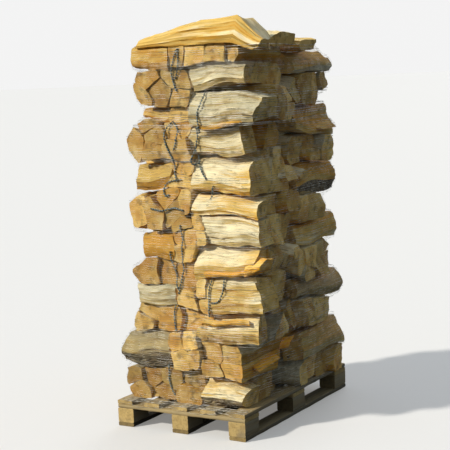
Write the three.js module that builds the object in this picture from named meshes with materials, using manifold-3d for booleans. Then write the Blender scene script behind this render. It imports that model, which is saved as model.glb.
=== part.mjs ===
// A tall pallet of split firewood held by a knitted wrap.
//
// Millimetres, +Z up. X runs along the pallet's short front side, Y along its long side, and the origin
// is the middle of the pallet's underside, on the centre bottom board. The wood stands in three stacks:
// front left, front right and rear. Each stack is a pile of courses, and in each course the logs lie side
// by side, either along X or along Y, so that the courses lock each other.
import * as THREE from 'three';
import { mergeVertices } from 'three/addons/utils/BufferGeometryUtils.js';
import Module from 'manifold-3d';

const wasm = await Module();
wasm.setup();

// ---------------------------------------------------------------- driving dimensions

const GAP = 0.3; // left between pieces that touch

// The pallet: nine blocks on three bottom boards, three cross boards, five deck boards.
const PALLET_WIDTH = 800;
const PALLET_LENGTH = 1200;
const BOARD_THICK = 22;
const BLOCK_HIGH = 78;
const BOTTOM_BOARD_WIDE = 100;
const CROSS_BOARD_WIDE = 145;
const DECK_BOARD_WIDE = 95;
const DECK_BOARDS = 5;
const DECK_TOP = 3 * BOARD_THICK + BLOCK_HIGH;

// The stacks, measured from the pallet's front left corner.
const STACK_FRONT = 60; // the front face of the wood, behind the pallet's front edge
const STACK_SPLIT_X = 500; // where the front left and the front right stack meet
const STACK_SPLIT_Y = 560; // where the front stacks meet the rear stack
const STACK_CLEAR = 30; // the open joint between the front stacks and the rear stack
const REAR_RIGHT_FACE = 830;

// One row per course, from the deck up: [top of the course, reach of its outer end, direction of its logs].
// The last row has one more value, its inner end, because the right stack's top course reaches over the left.
const FRONT_LEFT_COURSES = [
  [330, 0, 'Y'],
  [525, 17, 'X'],
  [665, 73, 'Y'],
  [775, 128, 'X'],
  [925, 117, 'Y'],
  [1083, 155, 'X'],
  [1287, 107, 'Y'],
  [1437, 122, 'X'],
  [1648, 103, 'Y'],
  [1727, 180, 'X'],
  [1918, 164, 'Y'],
  [2050, 152, 'X', 385],
];
const FRONT_RIGHT_COURSES = [
  [285, 748, 'X'],
  [488, 752, 'Y'],
  [655, 831, 'X'],
  [837, 874, 'X'],
  [996, 845, 'X'],
  [1153, 875, 'X'],
  [1259, 887, 'X'],
  [1471, 835, 'X'],
  [1621, 800, 'X'],
  [1810, 893, 'X'],
  [1934, 819, 'X'],
  [2052, 800, 'Y', 386],
];
// The rear stack's second value is the reach of its back end, and it has one more, the reach to the left.
const REAR_COURSES = [
  [295, 1120, 'X', 20],
  [460, 1085, 'Y', 55],
  [611, 1075, 'X', 90],
  [739, 1130, 'Y', 135],
  [930, 1115, 'X', 115],
  [1059, 1070, 'Y', 150],
  [1190, 1030, 'X', 120],
  [1369, 1105, 'Y', 135],
  [1523, 1060, 'X', 110],
  [1702, 1075, 'Y', 165],
  [1876, 1050, 'X', 150],
  [1990, 1090, 'Y', 175],
];

const LOG_WIDE = 125; // the usual width of a split log
const LOG_SET_BACK = 28; // how far a log's end may stay behind the end of its course
const LOG_DROP = 12; // how far a log's top may stay below the top of its course
const LOG_LAP = 3; // how far neighbours in a course run into each other

// The wrap: a thin sleeve from just above the deck to the top course.
const WRAP_THICK = 1;
const WRAP_CLEAR = 6;
const WRAP_BOTTOM = DECK_TOP + 6;
const WRAP_TOP = 1980;
const WRAP_LEVELS = 12;
const WRAP_CORNER = 8;

// ---------------------------------------------------------------- materials

function woodMaterial(name, color) {
  const material = new THREE.MeshStandardMaterial({ color, roughness: 0.85, metalness: 0 });
  material.name = name;
  return material;
}

const PALLET_WOOD = woodMaterial('pallet_wood', 0xb9a06a);
const SPLIT_WOOD = woodMaterial('split_wood', 0xd6b067);
const TOP_WOOD = woodMaterial('top_wood', 0xe0c68c);
const WRAP_YARN = woodMaterial('wrap_yarn', 0xdad8ce);

// ---------------------------------------------------------------- helpers

// A closed mesh with one set of shared vertices, as the boolean library wants it.
function toSolid(geometry) {
  const bare = geometry.clone();
  bare.deleteAttribute('normal');
  bare.deleteAttribute('uv');
  const merged = mergeVertices(bare, 1e-3);
  return new wasm.Manifold(
    new wasm.Mesh({
      numProp: 3,
      vertProperties: new Float32Array(merged.attributes.position.array),
      triVerts: new Uint32Array(merged.index.array),
    }),
  );
}

function toGeometry(solid) {
  const mesh = solid.getMesh();
  const geometry = new THREE.BufferGeometry();
  geometry.setAttribute('position', new THREE.BufferAttribute(mesh.vertProperties, 3));
  geometry.setIndex(new THREE.BufferAttribute(mesh.triVerts, 1));
  geometry.computeVertexNormals();
  return geometry;
}

// A repeatable number from 0 to 1 for the small differences between one log and the next.
function vary(seed) {
  const wave = Math.sin(seed * 12.9898 + 4.1414) * 43758.5453;
  return wave - Math.floor(wave);
}

const firewood = new THREE.Group();

// Everything is placed from the pallet's front left corner, and the group moves it to the origin.
firewood.position.set(-PALLET_WIDTH / 2, -PALLET_LENGTH / 2, 0);

function addPiece(name, geometry, material) {
  const mesh = new THREE.Mesh(geometry, material);
  mesh.name = name;
  firewood.add(mesh);
  return mesh;
}

// ---------------------------------------------------------------- pallet

// A board or block given by its low corner and its size, a hair smaller all round than its place. The
// bottom boards are set down by that hair, so that the pallet stands on the ground plane.
function addTimber(name, low, size) {
  const geometry = new THREE.BoxGeometry(size[0] - GAP, size[1] - GAP, size[2] - GAP);
  const mesh = addPiece(name, geometry, PALLET_WOOD);
  mesh.position.set(low[0] + size[0] / 2, low[1] + size[1] / 2, low[2] + size[2] / 2);
}

const SIDES = ['left', 'centre', 'right'];
const ENDS = ['front', 'middle', 'rear'];
const blockLow = SIDES.map((side, i) => (i * (PALLET_WIDTH - BOTTOM_BOARD_WIDE)) / 2);
const crossLow = ENDS.map((end, i) => (i * (PALLET_LENGTH - CROSS_BOARD_WIDE)) / 2);

SIDES.forEach((side, i) => {
  const board = [BOTTOM_BOARD_WIDE, PALLET_LENGTH, BOARD_THICK];
  addTimber(`pallet_bottom_board_${side}`, [blockLow[i], 0, -GAP / 2], board);
  ENDS.forEach((end, j) => {
    const block = [BOTTOM_BOARD_WIDE, CROSS_BOARD_WIDE, BLOCK_HIGH];
    addTimber(`pallet_block_${end}_${side}`, [blockLow[i], crossLow[j], BOARD_THICK], block);
  });
});

ENDS.forEach((end, j) => {
  const board = [PALLET_WIDTH, CROSS_BOARD_WIDE, BOARD_THICK];
  addTimber(`pallet_cross_board_${end}`, [0, crossLow[j], BOARD_THICK + BLOCK_HIGH], board);
});

for (let i = 0; i < DECK_BOARDS; i += 1) {
  const pitch = (PALLET_WIDTH - DECK_BOARD_WIDE) / (DECK_BOARDS - 1);
  const board = [DECK_BOARD_WIDE, PALLET_LENGTH, BOARD_THICK];
  addTimber(`pallet_deck_board_${i + 1}`, [i * pitch, 0, DECK_TOP - BOARD_THICK], board);
}

// ---------------------------------------------------------------- courses of logs

// The section of a split log: a box with its four corners cut off by different amounts. The upright
// sides stay long enough to run into the next log.
function logSection(low, high, bottom, top, seed) {
  const most = Math.min(high - low, top - bottom) * 0.42;
  const cut = [0, 1, 2, 3].map((corner) => most * (0.45 + 0.55 * vary(seed + corner * 7.3)));
  const outline = new THREE.Shape();
  outline.moveTo(low + cut[0], bottom);
  outline.lineTo(high - cut[1], bottom);
  outline.lineTo(high, bottom + cut[1]);
  outline.lineTo(high, top - cut[2]);
  outline.lineTo(high - cut[2], top);
  outline.lineTo(low + cut[3], top);
  outline.lineTo(low, top - cut[3]);
  outline.lineTo(low, bottom + cut[0]);
  outline.closePath();
  return outline;
}

// An extrusion drawn in (across, up) and pulled along the third axis, turned to lie along X or Y.
const ALONG = {
  X: new THREE.Matrix4().makeBasis(
    new THREE.Vector3(0, 1, 0),
    new THREE.Vector3(0, 0, 1),
    new THREE.Vector3(1, 0, 0),
  ),
  Y: new THREE.Matrix4().makeBasis(
    new THREE.Vector3(-1, 0, 0),
    new THREE.Vector3(0, 0, 1),
    new THREE.Vector3(0, 1, 0),
  ),
};

// A loose log is a little shorter and lower than its course, and a full one fills it from end to end.
function logPrism(box, direction, low, high, seed, full) {
  const across = direction === 'X' ? [low, high] : [-high, -low];
  const from = direction === 'X' ? box.min.x : box.min.y;
  const to = direction === 'X' ? box.max.x : box.max.y;
  const loose = full ? 0 : 1;
  const start = from + loose * LOG_SET_BACK * vary(seed + 1.7);
  const end = to - loose * LOG_SET_BACK * vary(seed + 3.1);
  const top = box.max.z - loose * LOG_DROP * vary(seed + 5.9);
  const section = logSection(across[0], across[1], box.min.z, top, seed);
  const prism = new THREE.ExtrudeGeometry(section, { depth: end - start, bevelEnabled: false });
  prism.translate(0, 0, start);
  prism.applyMatrix4(ALONG[direction]);
  return prism;
}

// One course fills its box with logs side by side. Its middle log is a full one, so that the course
// reaches its stated ends and top.
function courseGeometry(box, direction, seed) {
  const low = direction === 'X' ? box.min.y : box.min.x;
  const high = direction === 'X' ? box.max.y : box.max.x;
  const count = Math.max(2, Math.round((high - low) / LOG_WIDE));
  const pitch = (high - low) / count;
  let solid = null;
  for (let i = 0; i < count; i += 1) {
    const left = i === 0 ? low : low + i * pitch - LOG_LAP;
    const right = low + (i + 1) * pitch;
    const full = i === Math.floor(count / 2);
    const log = toSolid(logPrism(box, direction, left, right, seed * 17 + i, full));
    solid = solid ? solid.add(log) : log;
  }
  return toGeometry(solid);
}

function addStack(name, courses, boxOf) {
  let floor = DECK_TOP;
  courses.forEach((course, i) => {
    const [top, , direction] = course;
    const box = boxOf(course);
    box.min.z = floor + GAP;
    box.max.z = top;
    const geometry = courseGeometry(box, direction, i + name.length);
    addPiece(`${name}_${String(i + 1).padStart(2, '0')}`, geometry, SPLIT_WOOD);
    floor = top;
  });
}

// The far end of the front stacks, and a box from two corners with its heights left for later.
const frontEnd = STACK_SPLIT_Y - STACK_CLEAR / 2;
const rearStart = STACK_SPLIT_Y + STACK_CLEAR / 2;

function planBox(lowX, lowY, highX, highY) {
  return new THREE.Box3(new THREE.Vector3(lowX, lowY, 0), new THREE.Vector3(highX, highY, 0));
}

addStack('logs_front_left', FRONT_LEFT_COURSES, ([, left, , inner = STACK_SPLIT_X - 1]) =>
  planBox(left, STACK_FRONT, inner, frontEnd),
);
addStack('logs_front_right', FRONT_RIGHT_COURSES, ([, right, , inner = STACK_SPLIT_X + 1]) =>
  planBox(inner, STACK_FRONT, right, frontEnd),
);
addStack('logs_rear', REAR_COURSES, ([, back, , left]) =>
  planBox(left, rearStart, REAR_RIGHT_FACE, back),
);

// ---------------------------------------------------------------- loose logs on top

// A log seen from the front as an outline of a few points and pulled back in Y, with its long edges
// bevelled. The bevel grows the outline, so the points lie inside the finished size by that much.
const TOP_BEVEL = 14;

function addTopLog(name, points, front, back) {
  const outline = new THREE.Shape(points.map(([x, z]) => new THREE.Vector2(x, z)));
  const geometry = new THREE.ExtrudeGeometry(outline, {
    depth: back - front - 2 * TOP_BEVEL,
    bevelEnabled: true,
    bevelThickness: TOP_BEVEL,
    bevelSize: TOP_BEVEL,
    bevelSegments: 1,
  });
  geometry.rotateX(Math.PI / 2);
  geometry.translate(0, back - TOP_BEVEL, 0);
  addPiece(name, geometry, TOP_WOOD);
}

// The crooked log rises to a hump near its right end and hangs over the stack's right edge. The second
// log lies behind it, along Y, and the back log lies on the rear stack.
const CROOKED_LOG = [
  [192, 2067],
  [815, 2067],
  [830, 2015],
  [900, 2005],
  [912, 2040],
  [890, 2078],
  [838, 2108],
  [808, 2150],
  [728, 2138],
  [560, 2130],
  [400, 2100],
  [192, 2070],
];
const SECOND_LOG = [
  [706, 2067],
  [815, 2067],
  [824, 2036],
  [861, 2032],
  [862, 2072],
  [800, 2082],
  [706, 2078],
];
const BACK_LOG = [
  [470, 2006],
  [852, 2006],
  [848, 2034],
  [660, 2052],
  [480, 2040],
];

addTopLog('top_log_crooked', CROOKED_LOG, 45, 225);
addTopLog('top_log_second', SECOND_LOG, 260, 575);
addTopLog('top_log_back', BACK_LOG, 600, 830);

// ---------------------------------------------------------------- wrap

// The sleeve's four faces at each level reach past every piece of wood between the level below and the
// level above, so the straight stretch between two levels clears the wood too.
function woodAround(low, high) {
  const around = new THREE.Box3();
  for (const mesh of firewood.children) {
    if (mesh.name.startsWith('pallet')) continue;
    mesh.geometry.computeBoundingBox();
    const box = mesh.geometry.boundingBox;
    if (box.max.z > low && box.min.z < high) around.union(box);
  }
  return around.expandByScalar(WRAP_CLEAR);
}

// A square ring with a side of 1, its corners rounded, that the levels stretch to their own size.
function unitRing(inset, corner) {
  const points = [];
  const reach = 0.5 - inset;
  const centres = [
    [1, 1],
    [-1, 1],
    [-1, -1],
    [1, -1],
  ];
  centres.forEach(([x, y], i) => {
    for (let step = 0; step <= 3; step += 1) {
      const angle = (i + step / 3) * (Math.PI / 2);
      const centreX = x * (reach - corner);
      const centreY = y * (reach - corner);
      points.push(new THREE.Vector2(centreX + corner * Math.cos(angle), centreY + corner * Math.sin(angle)));
    }
  });
  return points;
}

function wrapGeometry() {
  const height = WRAP_TOP - WRAP_BOTTOM;
  const rise = height / WRAP_LEVELS;
  const corner = WRAP_CORNER / PALLET_WIDTH;
  const outline = new THREE.Shape(unitRing(0, corner));
  outline.holes.push(new THREE.Path(unitRing(WRAP_THICK / PALLET_WIDTH, corner)));
  const sleeve = new THREE.ExtrudeGeometry(outline, {
    depth: height,
    steps: WRAP_LEVELS,
    bevelEnabled: false,
  });
  const position = sleeve.attributes.position;
  for (let i = 0; i < position.count; i += 1) {
    const level = WRAP_BOTTOM + position.getZ(i);
    const wood = woodAround(level - rise, level + rise);
    const centre = wood.getCenter(new THREE.Vector3());
    const size = wood.getSize(new THREE.Vector3());
    position.setXYZ(i, centre.x + position.getX(i) * size.x, centre.y + position.getY(i) * size.y, level);
  }
  return sleeve;
}

addPiece('net_wrap', wrapGeometry(), WRAP_YARN);

export default firewood;
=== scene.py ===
# A tall pallet of split firewood held by a knitted net wrap. Metres, +Z up, with the short front side of
# the pallet towards -Y. The file follows the object as it is put together: pallet, nails, the courses of
# split logs, the loose logs on top, the net wrap, its slack foot and its chain ends, and then the studio.
import math
import random

import bpy
import numpy as np
from mathutils import Matrix, Vector


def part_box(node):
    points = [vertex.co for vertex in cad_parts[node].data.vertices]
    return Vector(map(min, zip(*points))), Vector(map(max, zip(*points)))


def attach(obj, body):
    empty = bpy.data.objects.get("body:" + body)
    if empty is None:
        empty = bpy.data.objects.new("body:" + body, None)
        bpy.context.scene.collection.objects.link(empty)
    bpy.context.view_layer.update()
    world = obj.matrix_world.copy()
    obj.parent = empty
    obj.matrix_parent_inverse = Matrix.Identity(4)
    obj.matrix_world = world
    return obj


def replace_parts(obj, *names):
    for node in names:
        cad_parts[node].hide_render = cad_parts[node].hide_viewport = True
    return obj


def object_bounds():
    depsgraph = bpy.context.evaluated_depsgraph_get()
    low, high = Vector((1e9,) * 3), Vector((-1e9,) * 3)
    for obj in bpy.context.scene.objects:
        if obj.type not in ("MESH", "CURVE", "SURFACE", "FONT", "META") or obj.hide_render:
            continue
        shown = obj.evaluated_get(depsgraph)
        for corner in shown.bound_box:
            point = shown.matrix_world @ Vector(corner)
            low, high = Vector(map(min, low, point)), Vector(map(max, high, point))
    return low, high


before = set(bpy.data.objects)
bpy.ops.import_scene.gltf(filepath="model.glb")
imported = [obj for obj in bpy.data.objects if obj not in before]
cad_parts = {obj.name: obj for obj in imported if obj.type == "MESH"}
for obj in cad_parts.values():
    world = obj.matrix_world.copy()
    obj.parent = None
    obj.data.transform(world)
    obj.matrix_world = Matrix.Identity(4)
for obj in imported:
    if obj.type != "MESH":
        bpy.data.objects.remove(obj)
cad_low, cad_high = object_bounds()

# ---------------------------------------------------------------- pallet timbers
# Twenty pieces of rough sawn softwood: bottom boards, blocks, cross boards and deck boards, cut square and
# nailed together. Each is a board of its own with worn edges, a little warped. They are grey where rain
# reaches them and straw yellow on their ends. Their side faces, the bottom boards and the block faces that
# look at the next block are painted darker: painted shade.


class Wire:
    """A value on its way through a finish. An expression on wires adds the Math nodes that work it out."""

    def __init__(self, finish, socket):
        self.finish = finish
        self.socket = socket

    def maths(self, operation, *others):
        values = {i: value for i, value in enumerate((self,) + others)}
        return self.finish.node("ShaderNodeMath", {"operation": operation}, values)

    def out(self, name):
        return Wire(self.finish, self.socket.node.outputs[name])

    def __add__(self, other):
        return self.maths("ADD", other)

    def __sub__(self, other):
        return self.maths("SUBTRACT", other)

    def __mul__(self, other):
        return self.maths("MULTIPLY", other)

    def step(self, low, high):
        """0 below low, 1 above high, and smooth between."""
        settings = {"interpolation_type": "SMOOTHSTEP"}
        values = {"Value": self, "From Min": low, "From Max": high}
        return self.finish.node("ShaderNodeMapRange", settings, values)


def paint(code):
    """The linear colour of a six digit paint code."""
    channels = [int(code[i : i + 2], 16) / 255 for i in (0, 2, 4)]
    return [c / 12.92 if c <= 0.04045 else ((c + 0.055) / 1.055) ** 2.4 for c in channels] + [1]


class Finish:
    """A material under construction."""

    def __init__(self, name, roughness):
        self.material = bpy.data.materials.new(name)
        self.material.use_nodes = True
        self.tree = self.material.node_tree
        self.shader = self.tree.nodes["Principled BSDF"]
        self.shader.inputs["Roughness"].default_value = roughness

    def join(self, socket, value):
        if isinstance(value, Wire):
            self.tree.links.new(value.socket, socket)
        else:
            socket.default_value = value

    def node(self, kind, settings, values, out=0):
        """Any node: its settings first, then the values or links of its sockets."""
        node = self.tree.nodes.new(kind)
        for key, value in settings.items():
            setattr(node, key, value)
        for key, value in values.items():
            self.join(node.inputs[key], value)
        return Wire(self, node.outputs[out])

    def mix(self, factor, first, second, blend="MIX"):
        settings = {"data_type": "RGBA", "blend_type": blend}
        return self.node("ShaderNodeMix", settings, {0: factor, 6: first, 7: second}, 2)

    def stretch(self, place, scale):
        return self.node("ShaderNodeVectorMath", {"operation": "MULTIPLY"}, {0: place, 1: scale})

    def noise(self, place, scale, detail=4.0, roughness=0.55):
        values = {"Vector": place, "Scale": scale, "Detail": detail, "Roughness": roughness}
        return self.node("ShaderNodeTexNoise", {}, values)

    def attribute(self, name):
        return self.node("ShaderNodeAttribute", {"attribute_name": name}, {}, "Vector")

    def parts(self, vector):
        first = self.node("ShaderNodeSeparateXYZ", {}, {0: vector})
        return first, first.out("Y"), first.out("Z")

    def shade(self, light):
        """A grey that darkens or lightens a colour, also to paint shade and light: light 0 leaves it as it
        is.
        """
        level = light * 0.35 + 1.0
        return self.node("ShaderNodeCombineXYZ", {}, {0: level, 1: level, 2: level})

    def bump(self, height, distance, strength):
        values = {"Height": height, "Distance": distance, "Strength": strength}
        return self.node("ShaderNodeBump", {}, values)

    def done(self, colour, normal=None):
        self.join(self.shader.inputs["Base Color"], colour)
        if normal is not None:
            self.join(self.shader.inputs["Normal"], normal)
        return self.material


def pallet_wood_finish():
    finish = Finish("pallet_wood", 0.85)
    wood = finish.attribute("wood")
    warmth, light, _ = finish.parts(finish.attribute("tone"))
    grain = finish.noise(finish.stretch(wood, (110, 5, 110)), 1.0, 6.0, 0.6)
    rings = finish.noise(finish.stretch(wood, (34, 1.3, 34)), 1.0, 2.0)
    stains = finish.noise(wood, 7.0, 4.0)
    dry = finish.mix(warmth, paint("867E69"), paint("C3A464"))
    colour = finish.mix(rings.step(0.42, 0.6) * 0.45, dry, paint("9A7C46"))
    colour = finish.mix(grain.step(0.5, 0.72) * 0.55, colour, paint("5F5138"))
    colour = finish.mix(stains.step(0.52, 0.75) * 0.5, colour, paint("6B675B"))
    # light holds a random tone and the painted shade of the side faces, bottom boards and inner block faces.
    colour = finish.mix(1.0, colour, finish.shade(light), "MULTIPLY")
    return finish.done(colour, finish.bump(grain + rings * 0.6, 0.0016, 0.7))


def nothing_selected():
    if bpy.context.mode != "OBJECT":
        bpy.ops.object.mode_set(mode="OBJECT")
    bpy.ops.object.select_all(action="DESELECT")


def select_only(pieces):
    """Selects these pieces alone, the first one active."""
    nothing_selected()
    for piece in pieces:
        piece.select_set(True)
    bpy.context.view_layer.objects.active = pieces[0]


def joined(pieces):
    select_only(pieces)
    bpy.ops.object.join()
    return bpy.context.object


def pick_edges(piece, wanted):
    """Edit mode with only those edges selected whose two ends pass the test."""
    bpy.ops.object.mode_set(mode="EDIT")
    bpy.ops.mesh.select_mode(type="EDGE")
    bpy.ops.mesh.select_all(action="DESELECT")
    bpy.ops.object.mode_set(mode="OBJECT")
    points = piece.data.vertices
    for edge in piece.data.edges:
        first, second = edge.vertices
        edge.select = bool(wanted(points[first].co, points[second].co))
    bpy.ops.object.mode_set(mode="EDIT")


def roughen(piece, size, depth, stretch, place):
    """Pushes the surface in and out by depth in waves of the given size, drawn out along the grain."""
    bpy.ops.object.empty_add(location=place)
    guide = bpy.context.object
    guide.scale = stretch
    bpy.context.view_layer.update()
    waves = bpy.data.textures.new("waves", type="CLOUDS")
    waves.noise_scale = size
    select_only([piece])
    push = piece.modifiers.new("push", "DISPLACE")
    push.texture = waves
    push.texture_coords = "OBJECT"
    push.texture_coords_object = guide
    push.mid_level = 0.5
    push.strength = depth
    bpy.ops.object.modifier_apply(modifier=push.name)
    bpy.data.objects.remove(guide)
    bpy.data.textures.remove(waves)


def give_attribute(mesh, name, domain, values):
    """Stores one vector for each point or face, for the finishes to read."""
    layer = mesh.attributes.new(name, "FLOAT_VECTOR", domain)
    layer.data.foreach_set("vector", np.asarray(values, dtype=np.float32).ravel())


def points_of(mesh):
    places = np.empty(len(mesh.vertices) * 3, dtype=np.float32)
    mesh.vertices.foreach_get("co", places)
    return places.reshape(-1, 3)


def move_points(mesh, places):
    mesh.vertices.foreach_set("co", np.asarray(places, dtype=np.float32).ravel())
    mesh.update()


def normals_of(mesh):
    normals = np.empty(len(mesh.polygons) * 3, dtype=np.float32)
    mesh.polygons.foreach_get("normal", normals)
    return normals.reshape(-1, 3)


PALLET_WOOD = pallet_wood_finish()
EDGE_WEAR = 0.005
RING_GAP = 0.07  # between the rings of points along a timber
WARP_SIZE, WARP_DEPTH = 0.06, 0.006
# Painted shade: how much darker than the rest the right and left faces are, a bottom board is, and a block's
# faces are that look at the next block.
SIDE_SHADE, BOTTOM_SHADE, INNER_SHADE = 0.7, 1.4, 2.0
timber_dice = random.Random(11)


def sawn_timber(node):
    low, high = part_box(node)
    size = high - low
    middle = (low + high) / 2
    nothing_selected()
    bpy.ops.mesh.primitive_cube_add(size=1, location=middle, scale=size)
    bpy.ops.object.transform_apply(location=True, rotation=True, scale=True)
    timber = bpy.context.object
    along = 0 if size.x > size.y and "block" not in node else 1

    def lengthwise(a, b):
        return abs(a[along] - b[along]) > size[along] * 0.9

    pick_edges(timber, lengthwise)
    bpy.ops.mesh.bevel(offset=EDGE_WEAR, offset_type="OFFSET", segments=2, affect="EDGES")
    pick_edges(timber, lengthwise)
    bpy.ops.mesh.subdivide(number_cuts=max(2, int(size[along] / RING_GAP)))
    bpy.ops.mesh.select_all(action="DESELECT")
    bpy.ops.object.mode_set(mode="OBJECT")
    place = Vector([timber_dice.uniform(-5, 5) for _ in range(3)])
    roughen(timber, WARP_SIZE, WARP_DEPTH, (1, 1, 1), place)
    bpy.ops.object.shade_smooth_by_angle(angle=math.radians(30))

    mesh = timber.data
    places = points_of(mesh)
    places[:, 2] = np.maximum(places[:, 2], low.z)
    mesh.vertices.foreach_set("co", places.ravel())
    offset = np.array([0.3 * timber_dice.random(), 9 * timber_dice.random(), 0.3 * timber_dice.random()])
    places = places - np.array(middle)
    if along == 0:
        places = places[:, [1, 0, 2]]
    give_attribute(mesh, "wood", "POINT", places + offset)
    normals = normals_of(mesh)
    ends = np.abs(normals[:, along]) > 0.8
    light = timber_dice.uniform(-0.3, 0.3)
    warmth = np.where(ends, 0.95, np.where(np.abs(normals[:, 0]) > 0.7, 0.2, 0.5))
    if "block" in node:
        warmth = np.where(normals[:, 1] < -0.5, 0.9, 0.25)
    # Painted shade on the side faces, the bottom boards and the block faces that look at the next block.
    lights = np.where(np.abs(normals[:, 0]) > 0.7, light - SIDE_SHADE, light)
    if "bottom" in node:
        lights = lights - BOTTOM_SHADE
    if "block" in node and "front" not in node:
        lights = np.where(np.abs(normals[:, 1]) > 0.5, light - INNER_SHADE, lights)
    tone = np.stack([warmth, lights, warmth * 0], axis=1)
    give_attribute(mesh, "tone", "FACE", tone)
    mesh.materials.append(PALLET_WOOD)
    timber.name = node.replace("pallet_", "timber_")
    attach(timber, "root")
    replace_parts(timber, node)


node_names = list(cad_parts)
timber_nodes = [name for name in node_names if name.startswith("pallet_")]
for node in timber_nodes:
    sawn_timber(node)

# ---------------------------------------------------------------- pallet nails
# Steel nails with flat heads, a little rusty. Three go through each deck board into every cross board and
# the block below, hammered flush.


def nail_finish():
    finish = Finish("nail_steel", 0.55)
    wear = finish.noise(finish.node("ShaderNodeTexCoord", {}, {}, "Object"), 900.0, 3.0)
    finish.shader.inputs["Metallic"].default_value = 0.8
    colour = finish.mix(wear.step(0.4, 0.65), paint("6E6A63"), paint("6B4630"))
    return finish.done(colour, finish.bump(wear, 0.0003, 0.5))


NAIL_STEEL = nail_finish()
NAIL_HEAD = 0.0045
NAIL_DEPTH = 0.004
NAIL_PROUD = 0.0012
NAIL_SPOTS = ((-0.028, -0.045), (0.03, -0.01), (-0.02, 0.04))

nothing_selected()
bpy.ops.mesh.primitive_cylinder_add(vertices=10, radius=NAIL_HEAD, depth=NAIL_DEPTH, end_fill_type="NGON")
nail = bpy.context.object
pick_edges(nail, lambda a, b: a.z > 0 and b.z > 0)
bpy.ops.mesh.bevel(offset=0.0008, segments=1, affect="EDGES")
bpy.ops.object.mode_set(mode="OBJECT")
nail.data.materials.append(NAIL_STEEL)

nail_dice = random.Random(5)
nails = []
for deck in [name for name in timber_nodes if "deck_board" in name]:
    deck_low, deck_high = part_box(deck)
    for cross in [name for name in timber_nodes if "cross_board" in name]:
        cross_low, cross_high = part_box(cross)
        centre = Vector(((deck_low.x + deck_high.x) / 2, (cross_low.y + cross_high.y) / 2, deck_high.z))
        for across, back in NAIL_SPOTS:
            head = nail.copy()
            head.data = nail.data.copy()
            bpy.context.collection.objects.link(head)
            place = centre + Vector((across, back, NAIL_PROUD - NAIL_DEPTH / 2))
            place += Vector((nail_dice.uniform(-0.006, 0.006), nail_dice.uniform(-0.008, 0.008), 0))
            head.data.transform(Matrix.Translation(place))
            nails.append(head)
bpy.data.objects.remove(nail)
pallet_nails = joined(nails)
pallet_nails.name = "pallet_nails"
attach(pallet_nails, "root")

# ---------------------------------------------------------------- split logs, the kinds
# Birch and alder billets, sawn to about 0.4 m and split with an axe: halves, quarters, wedges and slabs,
# some still with bark. The split faces are fibrous and pale or orange, the sawn ends golden.


def split_face_finish():
    finish = Finish("split_face", 0.8)
    wood = finish.attribute("wood")
    warmth, light, weathering = finish.parts(finish.attribute("tone"))
    fibres = finish.noise(finish.stretch(wood, (120, 7, 120)), 1.0, 6.0, 0.65)
    ridges = finish.noise(finish.stretch(wood, (42, 4.0, 42)), 1.0, 4.0)
    bands = finish.noise(finish.stretch(wood, (11, 3.2, 11)), 1.0, 4.0)
    specks = finish.noise(finish.stretch(wood, (90, 30, 90)), 1.0, 3.0)
    # warmth holds the wood's own tone and also the painted shade of the lower facets.
    glow = warmth + (bands - 0.5) * 1.9
    colour = finish.mix(glow.step(0.05, 0.55), paint("E8D9AE"), paint("D9B35A"))
    colour = finish.mix(glow.step(0.6, 1.1), colour, paint("D0962A"))
    colour = finish.mix(weathering * bands.step(0.3, 0.6), colour, paint("9B977C"))
    colour = finish.mix(ridges.step(0.5, 0.68) * 0.4, colour, paint("AC863E"))
    colour = finish.mix(fibres.step(0.52, 0.68) * 0.55, colour, paint("7C6236"))
    colour = finish.mix(specks.step(0.64, 0.74) * 0.6, colour, paint("4C4430"))
    colour = finish.mix(1.0, colour, finish.shade(light), "MULTIPLY")
    return finish.done(colour, finish.bump(ridges + fibres * 0.5, 0.005, 0.8))


def sawn_end_finish():
    finish = Finish("sawn_end", 0.85)
    wood = finish.attribute("wood")
    warmth, light, _ = finish.parts(finish.attribute("tone"))
    across, _, up = finish.parts(wood)
    flat = finish.node("ShaderNodeCombineXYZ", {}, {0: across, 1: 0.0, 2: up})
    wander = finish.noise(wood, 18.0, 3.0)
    reach = finish.node("ShaderNodeVectorMath", {"operation": "LENGTH"}, {0: flat}, "Value")
    rings = ((reach + wander * 0.012) * 1100.0).maths("SINE") * 0.5 + 0.5
    heart = (reach + wander * 0.05).step(0.085, 0.05)
    turn = up.maths("ARCTAN2", across)
    checks = (turn * 9.0 + wander * 5.0).maths("SINE").maths("ABSOLUTE").step(0.09, 0.02)
    checks = checks * finish.noise(wood, 30.0, 2.0).step(0.5, 0.62) * reach.step(0.0, 0.02)
    stains = finish.noise(wood, 26.0, 5.0)
    patches = finish.noise(wood, 11.0, 2.0)
    saw = finish.noise(finish.stretch(wood, (25, 1, 420)), 1.0, 2.0)
    colour = finish.mix(warmth + (stains - 0.5) * 0.8, paint("DDBA6A"), paint("C08E38"))
    colour = finish.mix(heart * 0.4, colour, paint("BC842C"))
    colour = finish.mix(patches.step(0.5, 0.68) * 0.65, colour, paint("B47C30"))
    colour = finish.mix(patches.step(0.46, 0.3) * 0.6, colour, paint("E8CC86"))
    colour = finish.mix(rings * 0.12, colour, paint("93692A"))
    colour = finish.mix(saw.step(0.52, 0.66) * 0.08, colour, paint("876430"))
    colour = finish.mix(stains.step(0.54, 0.68) * 0.6, colour, paint("6E5A34"))
    colour = finish.mix(checks * 0.85, colour, paint("3A2C18"))
    colour = finish.mix(1.0, colour, finish.shade(light), "MULTIPLY")
    height = saw * 0.2 + stains * 0.6 + rings * 0.1 - checks
    return finish.done(colour, finish.bump(height, 0.002, 0.7))


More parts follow.
